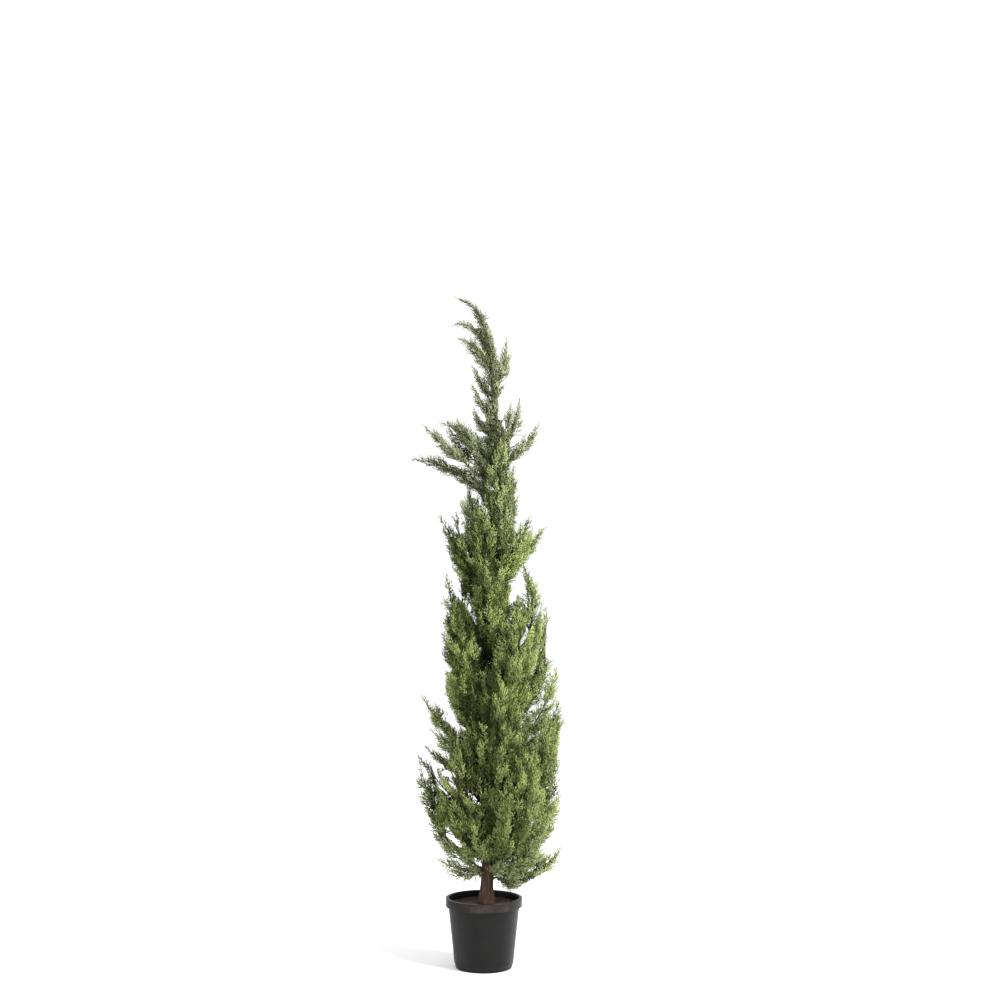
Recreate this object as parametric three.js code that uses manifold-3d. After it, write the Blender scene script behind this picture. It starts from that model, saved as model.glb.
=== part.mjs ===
// An Italian cypress in a black nursery pot, as separate solids: pot, soil, trunk, boughs and masses of
// foliage. Millimetres, +Z up. The origin is the middle of the pot's flat underside, and the tree's best
// side faces -Y.
import * as THREE from "three";
import { mergeVertices } from "three/addons/utils/BufferGeometryUtils.js";
import Module from "manifold-3d";

const wasm = await Module();
wasm.setup();

// ---- Driving dimensions ----

// Neighbouring solids keep this gap. A cut face may be made simpler, but moves by less than SMOOTHING.
// Points nearer than WELD are one.
const GAP = 0.9;
const SMOOTHING = 0.44;
const WELD = 1e-4;

const POT = {
  height: 268,
  baseRadius: 113,
  neckRadius: 139, // outer wall where it meets the rim
  rimRadius: 150,
  lipHeight: 33,
  draft: 1, // the mouth is that much wider than the neck
  foot: 5, // bevel round the base
  wall: 2.5,
  sides: 24,
};
const DRAIN = { count: 6, radius: 8, ringRadius: 84, depth: 10, sides: 6 };
const SOIL = {
  level: 248,
  flatRadius: 52, // its top is flat within this, where the trunk stands
  looseFrom: 0.72, // from this share of its radius outwards the top is loose
  unevenness: 4,
  waves: [17, 23], // how long the unevenness is in X and Y
  clearance: 0.8, // keeps its flat sides clear of the pot's own, beyond the gap
  sides: 24,
};

// The stem's axis: it stands upright on the soil, leans a little to +X, and its leader nods over to -X.
const STEM = [
  [10, 0, SOIL.level],
  [10, 0, 282],
  [11, 1, 320],
  [22, 2, 420],
  [34, 6, 760],
  [46, -5, 1340],
  [53, 1, 1880],
  [45, 4, 2160],
  [25, 0, 2365],
  [4, 2, 2510],
  [-22, 0, 2588],
];
const TRUNK = { radius: 24, tipRadius: 2.2, taper: 0.9, flare: 11, flareHeight: 34, sides: 8 };
const TRUNK_RINGS = { count: 13, crowding: 1.5 }; // they stand closer together in the root flare
const BUTTRESS = { count: 4, depth: 0.1, turn: 0.7 };

const FOLIAGE = { color: 0x51612f, roughness: 0.85 };
const BARK = { color: 0x4e3f33, roughness: 0.9 };

// Each limb leaves the stem's axis at height foot and ends at its tip, reach out and rise up, towards
// azimuth (0 is +X, 90 is +Y, the back). It bends towards a point at swing of its reach and lift of its
// rise. girth is the foliage's largest radius. bare is the share of the limb that has no foliage: it shows
// as a bough. Limbs that show most come first, because each mass is cut round those before it.
const LIMBS = [
  // The nodding leader and the short plumes of the open top
  { name: "leader_plume", foot: 2290, azimuth: 180, reach: 146, rise: 356, swing: 0.02, lift: 0.92, girth: 27 },
  { name: "top_left_plume_1", foot: 2438, azimuth: 166, reach: 140, rise: 100, swing: 0.5, lift: 1.25, girth: 19 },
  { name: "top_left_plume_2", foot: 2345, azimuth: 208, reach: 148, rise: 120, swing: 0.6, lift: 1.05, girth: 28 },
  { name: "top_right_plume", foot: 2250, azimuth: 18, reach: 56, rise: 222, swing: 0.8, lift: 0.36, girth: 28 },
  { name: "top_left_plume_3", foot: 2195, azimuth: 172, reach: 88, rise: 168, swing: 0.5, lift: 0.5, girth: 22 },
  { name: "leader_sleeve", foot: 2020, azimuth: 100, reach: 12, rise: 345, swing: 0.5, lift: 0.5, girth: 34 },
  { name: "top_left_plume_4", foot: 2108, azimuth: 205, reach: 108, rise: 176, swing: 0.55, lift: 0.62, girth: 25 },
  { name: "top_left_plume_5", foot: 2060, azimuth: 156, reach: 100, rise: 134, swing: 0.9, lift: 0.55, girth: 23 },
  { name: "top_right_fork_inner", foot: 2035, azimuth: -38, reach: 74, rise: 168, swing: 0.8, lift: 0.4, girth: 25 },
  { name: "top_right_fork_outer", foot: 1985, azimuth: 12, reach: 93, rise: 248, swing: 0.96, lift: 0.45, girth: 26 },
  { name: "right_feather", foot: 1953, azimuth: -8, reach: 171, rise: 176, swing: 0.62, lift: 0.36, girth: 23, bare: 0.16 },
  // The three long sprays that stand out to the left of the neck
  { name: "left_fan_upper", foot: 1893, azimuth: 176, reach: 228, rise: 250, swing: 0.5, lift: 0.8, girth: 60 },
  { name: "left_fan_middle", foot: 1880, azimuth: 190, reach: 300, rise: 242, swing: 0.7, lift: 0.64, girth: 32, bare: 0.16 },
  { name: "left_long_spray", foot: 1785, azimuth: 180, reach: 340, rise: 208, swing: 0.16, lift: 0.74, girth: 32, bare: 0.12 },
  // The neck
  { name: "neck_front", foot: 1590, azimuth: 278, reach: 52, rise: 540, swing: 1.3, lift: 0.42, girth: 54 },
  { name: "neck_right", foot: 1560, azimuth: 8, reach: 70, rise: 396, swing: 0.56, lift: 0.45, girth: 47 },
  { name: "neck_back", foot: 1590, azimuth: 95, reach: 66, rise: 520, swing: 1.1, lift: 0.4, girth: 54 },
  { name: "neck_left", foot: 1530, azimuth: 172, reach: 110, rise: 360, swing: 0.86, lift: 0.44, girth: 64 },
  // The plumes of the shoulders
  { name: "left_shoulder_outer", foot: 1380, azimuth: 176, reach: 222, rise: 378, swing: 0.46, lift: 0.46, girth: 50 },
  { name: "left_shoulder_inner", foot: 1390, azimuth: 205, reach: 172, rise: 374, swing: 0.85, lift: 0.45, girth: 60 },
  { name: "right_shoulder_outer", foot: 1500, azimuth: 20, reach: 205, rise: 212, swing: 0.46, lift: 0.52, girth: 42 },
  { name: "right_shoulder_inner", foot: 1500, azimuth: -30, reach: 154, rise: 250, swing: 0.46, lift: 0.45, girth: 58 },
  { name: "right_spire", foot: 1060, azimuth: -6, reach: 118, rise: 515, swing: 1.9, lift: 0.46, girth: 58 },
  { name: "left_spire", foot: 1020, azimuth: 190, reach: 192, rise: 498, swing: 0.68, lift: 0.47, girth: 56 },
  { name: "right_arm_plume", foot: 880, azimuth: 10, reach: 218, rise: 515, swing: 0.96, lift: 0.36, girth: 54 },
  // The outer plumes of the lower crown
  { name: "right_middle_plume", foot: 760, azimuth: 4, reach: 260, rise: 396, swing: 0.72, lift: 0.38, girth: 60 },
  { name: "right_flank_upper", foot: 560, azimuth: -14, reach: 268, rise: 466, swing: 0.88, lift: 0.42, girth: 82 },
  { name: "right_flank_lower", foot: 375, azimuth: -8, reach: 262, rise: 400, swing: 0.82, lift: 0.28, girth: 74 },
  { name: "right_low_spray", foot: 366, azimuth: -34, reach: 284, rise: 240, swing: 0.7, lift: 0.2, girth: 54 },
  { name: "left_high_arm", foot: 690, azimuth: 184, reach: 274, rise: 356, swing: 0.5, lift: 0.42, girth: 52 },
  { name: "left_middle_arm", foot: 584, azimuth: 160, reach: 280, rise: 256, swing: 0.54, lift: 0.66, girth: 40 },
  { name: "left_bent_arm", foot: 425, azimuth: 200, reach: 288, rise: 372, swing: 0.78, lift: 0.28, girth: 46, bare: 0.2 },
  { name: "left_back_arm", foot: 528, azimuth: 176, reach: 288, rise: 285, swing: 0.62, lift: 0.46, girth: 46 },
  { name: "left_low_spray", foot: 362, azimuth: 184, reach: 244, rise: 250, swing: 0.66, lift: 0.36, girth: 39, bare: 0.14 },
  // The lowest boughs, spread over the pot
  { name: "skirt_right", foot: 345, azimuth: -8, reach: 292, rise: 125, swing: 0.72, lift: -0.1, girth: 54, bare: 0.09 },
  { name: "skirt_left", foot: 368, azimuth: 184, reach: 198, rise: 48, swing: 0.55, lift: -0.1, girth: 44, bare: 0.12 },
  { name: "skirt_back", foot: 350, azimuth: 84, reach: 232, rise: 150, swing: 0.7, lift: 0.1, girth: 50 },
  // The full body of the crown, tier by tier
  { name: "upper_front_plume", foot: 1185, azimuth: 246, reach: 92, rise: 655, swing: 1.15, lift: 0.42, girth: 84 },
  { name: "upper_back_plume", foot: 1190, azimuth: 104, reach: 100, rise: 640, swing: 1.15, lift: 0.42, girth: 84 },
  { name: "middle_front_left_plume", foot: 860, azimuth: 214, reach: 136, rise: 630, swing: 1.5, lift: 0.29, girth: 88 },
  { name: "middle_front_right_plume", foot: 890, azimuth: 312, reach: 138, rise: 550, swing: 1.15, lift: 0.4, girth: 98 },
  { name: "middle_back_right_plume", foot: 900, azimuth: 44, reach: 130, rise: 560, swing: 1.1, lift: 0.4, girth: 98 },
  { name: "middle_back_left_plume", foot: 910, azimuth: 142, reach: 142, rise: 620, swing: 1.1, lift: 0.4, girth: 96 },
  { name: "lower_left_plume", foot: 600, azimuth: 182, reach: 128, rise: 340, swing: 1.05, lift: 0.4, girth: 80 },
  { name: "lower_front_plume", foot: 610, azimuth: 276, reach: 166, rise: 620, swing: 1.1, lift: 0.38, girth: 112 },
  { name: "lower_back_plume", foot: 640, azimuth: 88, reach: 170, rise: 600, swing: 1.1, lift: 0.38, girth: 112 },
  { name: "base_front_left_plume", foot: 425, azimuth: 230, reach: 192, rise: 470, swing: 1.05, lift: 0.3, girth: 100 },
  { name: "base_front_right_plume", foot: 420, azimuth: 308, reach: 200, rise: 490, swing: 1.05, lift: 0.3, girth: 110 },
  { name: "base_back_right_plume", foot: 415, azimuth: 50, reach: 200, rise: 480, swing: 1.05, lift: 0.32, girth: 108 },
  { name: "base_back_left_plume", foot: 415, azimuth: 124, reach: 200, rise: 480, swing: 1.05, lift: 0.32, girth: 104 },
];

// ---- Solids ----

// A closed geometry as a manifold-3d solid.
function solidOf(geometry) {
  const bare = geometry.clone();
  bare.deleteAttribute("normal");
  bare.deleteAttribute("uv");
  const merged = mergeVertices(bare, WELD);
  return new wasm.Manifold(
    new wasm.Mesh({
      numProp: 3,
      vertProperties: merged.attributes.position.array,
      triVerts: new Uint32Array(merged.index.array),
    }),
  );
}

// A manifold-3d solid as a named mesh. A cut can leave crumbs, so only the largest body is kept.
function meshOf(name, solid, look) {
  const whole = solid.decompose().reduce((a, b) => (b.volume() > a.volume() ? b : a));
  const body = whole.simplify(SMOOTHING);
  const { numProp, numVert, vertProperties, triVerts } = body.getMesh();
  const position = new Float32Array(numVert * 3);
  for (let i = 0; i < numVert; i++) {
    position.set(vertProperties.subarray(i * numProp, i * numProp + 3), i * 3);
  }
  const geometry = new THREE.BufferGeometry()
    .setAttribute("position", new THREE.BufferAttribute(position, 3))
    .setIndex(new THREE.BufferAttribute(triVerts, 1));
  geometry.computeVertexNormals();
  const mesh = new THREE.Mesh(geometry, new THREE.MeshStandardMaterial({ metalness: 0, ...look }));
  mesh.name = name;
  return mesh;
}

// A profile of [radius, height] points turned round Z.
function turned(profile, sides) {
  const points = profile.map(([radius, height]) => new THREE.Vector2(radius, height));
  return new THREE.LatheGeometry(points, sides).rotateX(Math.PI / 2);
}

// A tapering body along a curve. stations are [share of the curve, radius], the first and last of radius 0;
// swell(share, angle) makes its sides uneven.
const FRAME_STEPS = 48;
function swept(curve, stations, sides, swell = () => 1) {
  const frames = curve.computeFrenetFrames(FRAME_STEPS);
  const profile = stations.map(([share, radius]) => new THREE.Vector2(radius, share));
  const geometry = new THREE.LatheGeometry(profile, sides);
  const position = geometry.attributes.position;
  for (let i = 0; i < position.count; i++) {
    const share = THREE.MathUtils.clamp(position.getY(i), 0, 1);
    const [across, along] = [position.getX(i), position.getZ(i)];
    const frame = Math.round(share * FRAME_STEPS);
    const grown = swell(share, Math.atan2(across, along));
    const point = curve
      .getPointAt(share)
      .addScaledVector(frames.binormals[frame], across * grown)
      .addScaledVector(frames.normals[frame], along * grown);
    position.setXYZ(i, point.x, point.y, point.z);
  }
  return solidOf(geometry);
}

const evenly = (count) => Array.from({ length: count + 1 }, (_, i) => i / count);

// ---- The trunk ----

const HALVINGS = 24; // steps in which a height is found on the stem
const stemCurve = new THREE.CatmullRomCurve3(STEM.map((point) => new THREE.Vector3(...point)));
const stemLength = stemCurve.getLength();

function stemRadius(share) {
  const taper = TRUNK.tipRadius + (TRUNK.radius - TRUNK.tipRadius) * (1 - share) ** TRUNK.taper;
  return taper + TRUNK.flare * Math.exp((-share * stemLength) / TRUNK.flareHeight);
}

// The stem's axis at a height.
function stemAt(height) {
  let [low, high] = [0, 1];
  for (let i = 0; i < HALVINGS; i++) {
    const middle = (low + high) / 2;
    if (stemCurve.getPointAt(middle).z < height) low = middle;
    else high = middle;
  }
  return stemCurve.getPointAt(low);
}

// The root flare runs out in low buttresses.
function trunkSolid(clearance) {
  const shares = evenly(TRUNK_RINGS.count).map((share) => share ** TRUNK_RINGS.crowding);
  const rings = shares.map((share) => [share, stemRadius(share) + clearance]);
  const fading = (share) => BUTTRESS.depth * Math.exp((-share * stemLength) / TRUNK.flareHeight);
  const buttresses = (share, angle) => 1 + fading(share) * Math.sin(BUTTRESS.count * angle + BUTTRESS.turn);
  return swept(stemCurve, [[0, 0], ...rings, [1, 0]], TRUNK.sides, buttresses);
}

// ---- Boughs and masses of foliage ----

function limbCurve({ foot, azimuth, reach, rise, swing, lift }) {
  const base = stemAt(foot);
  const angle = THREE.MathUtils.degToRad(azimuth);
  const across = new THREE.Vector3(reach * Math.cos(angle), reach * Math.sin(angle), 0);
  const upright = new THREE.Vector3(0, 0, rise);
  const at = (out, up) => base.clone().addScaledVector(across, out).addScaledVector(upright, up);
  return new THREE.QuadraticBezierCurve3(base, at(swing, lift), at(1, 1));
}

// A plume: it swells quickly above its foot and runs out in a long point.
const SWELLING = 0.55;
const POINTING = 0.85;
// Stout masses get more rings and sides than slim ones: each row holds from its girth up.
const MASS_DETAIL = [
  { girth: 100, rings: 5, sides: 7 },
  { girth: 35, rings: 5, sides: 6 },
  { girth: 0, rings: 5, sides: 5 },
];
// Waves round and along a mass that make it lumpy. turn shifts each from one mass to the next.
const LUMPS = [
  { around: 2, along: 6, turn: 2.4, depth: 0.13 },
  { around: 3, along: -13, turn: -2.4, depth: 0.09 },
  { around: 1, along: 21, turn: 4.8, depth: 0.06 },
];
function plumeRadius(share, girth) {
  const widest = SWELLING / (SWELLING + POINTING);
  const top = widest ** SWELLING * (1 - widest) ** POINTING;
  return (girth * share ** SWELLING * (1 - share) ** POINTING) / top;
}

function massSolid(limb, index, clearance) {
  const { girth, bare = 0 } = limb;
  const { rings, sides } = MASS_DETAIL.find((detail) => girth > detail.girth);
  const stations = evenly(rings).map((share) => [
    bare + (1 - bare) * share,
    plumeRadius(share, girth) + clearance,
  ]);
  const lumps = (share, angle) =>
    LUMPS.reduce(
      (grown, { around, along, turn, depth }) =>
        grown + depth * Math.sin(around * angle + along * share + turn * index),
      1,
    );
  return swept(limbCurve(limb), [[bare, 0], ...stations, [1, 0]], sides, lumps);
}

// A bough runs from inside the stem to a little way inside its foliage.
const BOUGH = { entry: 0.12, sides: 6, rings: 3, slimmest: 3.5, perGirth: 0.07, taper: 0.45 };
function boughSolid({ girth, bare, ...limb }, clearance) {
  const end = bare + BOUGH.entry;
  const thick = BOUGH.slimmest + BOUGH.perGirth * girth;
  const rings = evenly(BOUGH.rings).map((share) => [
    share * end,
    thick * (1 - BOUGH.taper * share) + clearance,
  ]);
  return swept(limbCurve(limb), [[0, 0], ...rings, [end + clearance / limb.reach, 0]], BOUGH.sides);
}

// ---- Pot and soil ----

function potSolid() {
  const { height, baseRadius, neckRadius, rimRadius, lipHeight, draft, foot, wall, sides } = POT;
  const neck = height - lipHeight;
  const profile = [
    [0, 0],
    [baseRadius - foot, 0],
    [baseRadius, foot],
    [neckRadius, neck],
    [neckRadius + draft, height - wall],
    [rimRadius - wall, height - wall],
    [rimRadius - wall, neck],
    [rimRadius, neck],
    [rimRadius, height],
    [neckRadius + draft - wall, height],
    [neckRadius - wall, neck],
    [baseRadius - wall, wall + foot],
    [baseRadius - wall - foot, wall],
    [0, wall],
  ];
  const drain = new THREE.CylinderGeometry(DRAIN.radius, DRAIN.radius, DRAIN.depth, DRAIN.sides);
  drain.rotateX(Math.PI / 2).translate(DRAIN.ringRadius, 0, 0);
  return Array.from({ length: DRAIN.count }, (_, i) => (i * 2 * Math.PI) / DRAIN.count).reduce(
    (pot, angle) => pot.subtract(solidOf(drain.clone().rotateZ(angle))),
    solidOf(turned(profile, sides)),
  );
}

// The root ball fills the pot. Its top is flat where the trunk stands, and uneven towards the wall.
function soilSolid() {
  const { height, baseRadius, neckRadius, lipHeight, foot, wall } = POT;
  const { level, flatRadius, looseFrom, unevenness, waves, clearance } = SOIL;
  const bottom = wall + GAP;
  const bottomRadius = baseRadius - wall - GAP - clearance;
  const topRadius = bottomRadius + ((neckRadius - baseRadius) * (level - foot)) / (height - lipHeight - foot);
  const profile = [
    [0, bottom],
    [bottomRadius - foot, bottom],
    [bottomRadius, bottom + foot],
    [topRadius - GAP, level],
    [topRadius * looseFrom, level],
    [flatRadius, level],
    [0, level],
  ];
  const geometry = turned(profile, SOIL.sides);
  const position = geometry.attributes.position;
  for (let i = 0; i < position.count; i++) {
    const [x, y, z] = [position.getX(i), position.getY(i), position.getZ(i)];
    const loose = z > level - GAP && Math.hypot(x, y) > flatRadius + GAP;
    const wave = Math.sin(x / waves[0] + 1) * Math.cos(y / waves[1]);
    if (loose) position.setZ(i, z - unevenness * (0.5 + 0.5 * wave));
  }
  return solidOf(geometry);
}

// ---- The tree in its pot ----

const plant = new THREE.Group();
plant.name = "italian_cypress";
plant.add(meshOf("pot", potSolid(), { color: 0x2f302f, roughness: 0.5 }));
plant.add(meshOf("soil", soilSolid(), { color: 0x352b22, roughness: 0.95 }));

const trunk = meshOf("trunk", trunkSolid(0), BARK);
trunk.position.z = GAP;
plant.add(trunk);

// Each new piece is cut round what stands already, and then takes its own room, wider by the gap.
let taken = trunkSolid(GAP).translate([0, 0, GAP]);
function place(name, solid, room, look) {
  plant.add(meshOf(name, solid.subtract(taken), look));
  taken = taken.add(room);
}
for (const limb of LIMBS.filter(({ bare }) => bare)) {
  place(`bough_${limb.name}`, boughSolid(limb, 0), boughSolid(limb, GAP), BARK);
}
LIMBS.forEach((limb, index) => {
  place(limb.name, massSolid(limb, index, 0), massSolid(limb, index, GAP), FOLIAGE);
});

export default plant;
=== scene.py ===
import math

import bmesh
import bpy
import numpy as np
from mathutils import Matrix, Vector, noise
from mathutils.bvhtree import BVHTree


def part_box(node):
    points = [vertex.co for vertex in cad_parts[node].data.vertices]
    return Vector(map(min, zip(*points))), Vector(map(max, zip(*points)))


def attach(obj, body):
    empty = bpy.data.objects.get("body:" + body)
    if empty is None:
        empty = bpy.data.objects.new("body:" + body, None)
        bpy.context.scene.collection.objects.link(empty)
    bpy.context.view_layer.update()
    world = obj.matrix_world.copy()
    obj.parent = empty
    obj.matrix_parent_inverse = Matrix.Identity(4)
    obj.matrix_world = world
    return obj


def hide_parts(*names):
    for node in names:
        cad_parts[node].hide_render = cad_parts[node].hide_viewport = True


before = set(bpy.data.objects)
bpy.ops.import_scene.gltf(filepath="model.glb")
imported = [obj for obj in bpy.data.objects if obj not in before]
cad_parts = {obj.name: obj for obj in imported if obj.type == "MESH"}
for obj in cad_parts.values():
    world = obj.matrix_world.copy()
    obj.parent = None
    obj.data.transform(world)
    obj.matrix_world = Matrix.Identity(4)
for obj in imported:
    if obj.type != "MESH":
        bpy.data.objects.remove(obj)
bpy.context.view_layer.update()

# ----------------------------------------------------------------------------
# The nursery pot: one blow-moulded shell of recycled black polypropylene. The wall is thin and
# tapers down to a flat base with drainage holes; a deep rolled lip stiffens the rim.
MM = 0.001
_, pot_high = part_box("pot")
rim_radius = pot_high.x
pot_height = pot_high.z
lip_height = 33 * MM
neck_radius = 139 * MM
base_radius = 113 * MM
wall = 2.5 * MM
drain_radius = 8 * MM
drain_ring = 84 * MM
drain_count = 6
SPIN_STEPS = 128


def set_down(mesh):
    """A mesh as a smooth object of the same name at the origin."""
    mesh.shade_smooth()
    made = bpy.data.objects.new(mesh.name, mesh)
    bpy.context.scene.collection.objects.link(made)
    return made


def mesh_object(name, bm):
    """A finished bmesh as an object of that name."""
    mesh = bpy.data.meshes.new(name)
    bm.to_mesh(mesh)
    bm.free()
    return set_down(mesh)


def fit(piece, material, slot, *nodes):
    """Gives a piece its finish, sets it on the plant's one body, and lets it stand for CAD nodes."""
    piece.data.materials.append(material)
    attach(piece, "root")
    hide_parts(*nodes)


def turn(profile):
    """A closed bmesh: a profile of (radius, height) points turned once round the Z axis."""
    bm = bmesh.new()
    rows = [bm.verts.new((radius, 0, height)) for radius, height in profile]
    edges = [bm.edges.new(pair) for pair in zip(rows, rows[1:])]
    bmesh.ops.spin(
        bm,
        geom=rows + edges,
        cent=(0, 0, 0),
        axis=(0, 0, 1),
        angle=math.tau,
        steps=SPIN_STEPS,
        use_merge=True,
    )
    bmesh.ops.remove_doubles(bm, verts=bm.verts, dist=1e-6)
    bmesh.ops.recalc_face_normals(bm, faces=bm.faces)
    return bm


def rounded(corners, radius, steps=3):
    """A profile whose inner corners are rounded off by a small radius."""
    points = [Vector(corner) for corner in corners]
    made = [points[0]]
    for before, corner, after in zip(points, points[1:], points[2:]):
        reach = min(radius, (before - corner).length / 2.2, (after - corner).length / 2.2)
        start = corner + (before - corner).normalized() * reach
        end = corner + (after - corner).normalized() * reach
        for step in range(steps + 1):
            share = step / steps
            made.append(start.lerp(corner, share).lerp(corner.lerp(end, share), share))
    return [tuple(point) for point in made + [points[-1]]]


neck_height = pot_height - lip_height
foot_step = 16 * MM  # the wall draws in a little just above the floor
outside = [
    (0, 0),
    (base_radius - 3 * MM, 0),
    (base_radius + 0.6 * MM, foot_step),
    (base_radius + 2.6 * MM, foot_step + 2 * MM),
    (neck_radius, neck_height - 1 * MM),
    (neck_radius + 1 * MM, pot_height - wall),
    (rim_radius - wall, pot_height - wall),
    (rim_radius - wall - 0.6 * MM, neck_height + 1.5 * MM),
    (rim_radius - 0.4 * MM, neck_height),
    (rim_radius, pot_height),
]
inside = [
    (neck_radius + 1 * MM - wall, pot_height),
    (neck_radius - wall, neck_height - 1 * MM),
    (base_radius + 2.6 * MM - wall, foot_step + 2 * MM + wall),
    (base_radius - 4 * MM - wall, wall),
    (0, wall),
]
pot_mesh = turn(rounded(outside + inside, 1.6 * MM))
pot = mesh_object("nursery_pot", pot_mesh)

# The drainage holes are punched through the base in one ring.
punch_mesh = bmesh.new()
for hole in range(drain_count):
    angle = hole * math.tau / drain_count
    centre = Vector((drain_ring * math.cos(angle), drain_ring * math.sin(angle), 0))
    bmesh.ops.create_cone(
        punch_mesh,
        cap_ends=True,
        segments=32,
        radius1=drain_radius,
        radius2=drain_radius,
        depth=6 * wall,
        matrix=Matrix.Translation(centre),
    )
punch = mesh_object("drain_punch", punch_mesh)
drains = pot.modifiers.new("drains", "BOOLEAN")
drains.object = punch
drains.solver = "EXACT"
punched = bpy.data.meshes.new_from_object(pot.evaluated_get(bpy.context.evaluated_depsgraph_get()))
pot.modifiers.clear()
pot.data = punched
bpy.data.objects.remove(punch)


def linear(red, green, blue):
    """An sRGB colour from 0 to 255 as the linear colour that shaders take."""
    channels = [((c / 255 + 0.055) / 1.055) ** 2.4 if c > 10 else c / 3295 for c in (red, green, blue)]
    return (*channels, 1)


class Finish:
    """A material under construction: a Principled shader and the patterns that feed it."""

    def __init__(self, name, roughness=0.6, specular=0.5):
        self.material = bpy.data.materials.new(name)
        self.material.use_nodes = True
        self.tree = self.material.node_tree
        self.shader = self.tree.nodes["Principled BSDF"]
        self.shader.inputs["Roughness"].default_value = roughness
        self.shader.inputs["Specular IOR Level"].default_value = specular

    def node(self, kind, **inputs):
        made = self.tree.nodes.new(kind)
        for name, value in inputs.items():
            self.feed(made.inputs[name.replace("_", " ")], value)
        return made

    def feed(self, socket, value):
        if isinstance(value, bpy.types.NodeSocket):
            self.tree.links.new(value, socket)
        else:
            socket.default_value = value

    def colour(self, value):
        self.feed(self.shader.inputs["Base Color"], value)

    def rough(self, value):
        self.feed(self.shader.inputs["Roughness"], value)

    def place(self, stretch=(1, 1, 1)):
        """Object coordinates, stretched where the pattern runs one way."""
        coordinates = self.node("ShaderNodeTexCoord").outputs["Object"]
        return self.node("ShaderNodeMapping", Vector=coordinates, Scale=stretch).outputs["Vector"]

    def noise(self, size, detail=4, stretch=(1, 1, 1)):
        """Soft noise from 0 to 1 whose lumps are about size metres across."""
        place = self.place(stretch)
        return self.node("ShaderNodeTexNoise", Vector=place, Scale=1 / size, Detail=detail).outputs["Fac"]

    def ramp(self, value, *stops):
        """Turns a number into a colour: stops are (position, colour) pairs."""
        made = self.node("ShaderNodeValToRGB", Fac=value)
        elements = made.color_ramp.elements
        for index, (position, colour) in enumerate(stops):
            element = elements[index] if index < 2 else elements.new(position)
            element.position = position
            element.color = colour
        return made.outputs["Color"]

    def between(self, value, low, high, start=0, end=1):
        """A number that runs from low to high while a value runs from start to end."""
        made = self.node("ShaderNodeMapRange", Value=value, To_Min=low, To_Max=high)
        self.feed(made.inputs["From Min"], start)
        self.feed(made.inputs["From Max"], end)
        return made.outputs["Result"]

    def times(self, first, second):
        """Two numbers multiplied."""
        made = self.node("ShaderNodeMath", Value=first)
        made.operation = "MULTIPLY"
        self.feed(made.inputs[1], second)
        return made.outputs["Value"]

    def blend(self, share, first, second):
        """Mixes two colours by a share from 0 to 1."""
        made = self.tree.nodes.new("ShaderNodeMix")
        made.data_type = "RGBA"
        for socket, value in [(0, share), (6, first), (7, second)]:
            self.feed(made.inputs[socket], value)
        return made.outputs[2]

    def relief(self, height, depth):
        """Bump of that depth in metres."""
        bump = self.node("ShaderNodeBump", Height=height, Distance=depth)
        self.tree.links.new(bump.outputs["Normal"], self.shader.inputs["Normal"])


# Black plastic, scuffed a little greyer in places. Soil has dried on as brown dust where the mix was
# tipped in over the front of the lip, and thins out round its sides.
plastic = Finish("black_pot_plastic", roughness=0.4, specular=0.16)
cloudy = plastic.noise(60 * MM, detail=5)
scuffs = plastic.noise(9 * MM, detail=6, stretch=(1, 1, 0.25))
shell_black = plastic.ramp(cloudy, (0.3, linear(8, 8, 8)), (0.75, linear(14, 14, 13)))
across_up = plastic.node("ShaderNodeSeparateXYZ", Vector=plastic.place())
flat = plastic.node("ShaderNodeCombineXYZ", X=across_up.outputs["X"], Y=across_up.outputs["Y"])
from_axis = plastic.node("ShaderNodeVectorMath", Vector=flat.outputs["Vector"])
from_axis.operation = "LENGTH"
on_lip = plastic.times(
    plastic.between(across_up.outputs["Z"], 0, 1, neck_height - 12 * MM, neck_height + 8 * MM),
    plastic.between(from_axis.outputs["Value"], 0, 1, rim_radius - 4 * MM, rim_radius - 1.5 * MM),
)
tipped_in = plastic.times(
    plastic.between(across_up.outputs["Y"], 0.2, 1, -20 * MM, -120 * MM),
    plastic.between(across_up.outputs["X"], 0.15, 1, -120 * MM, -40 * MM),
)
patchy = plastic.times(
    plastic.between(plastic.noise(38 * MM, detail=6), 0.45, 1, 0.38, 0.62),
    plastic.between(plastic.noise(7 * MM, detail=6), 0.6, 1, 0.3, 0.6),
)
dust = plastic.noise(55 * MM, detail=2)
dusty = plastic.ramp(dust, (0.4, linear(36, 28, 23)), (0.62, linear(51, 43, 38)))
plastic.colour(plastic.blend(plastic.times(plastic.times(on_lip, tipped_in), patchy), shell_black, dusty))
plastic.rough(plastic.between(scuffs, 0.3, 0.52))
plastic.relief(scuffs, 0.2 * MM)
fit(pot, plastic.material, "pot_plastic", "pot")

# ----------------------------------------------------------------------------
# The potting mix: a moist root ball of dark peat and composted bark that fills the pot to just
# below the rim. Its top is crumbly, hollowed a little by watering, with loose chips of bark.
soil_low, soil_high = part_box("soil")
soil_level = soil_high.z
soil_top_radius = soil_high.x
soil_base_radius = base_radius - 4 * MM
crumble = 3.2 * MM  # how much the top rises and falls
lump_size = 13 * MM
soil_surface = soil_level - crumble
soil_rings = 34

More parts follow.
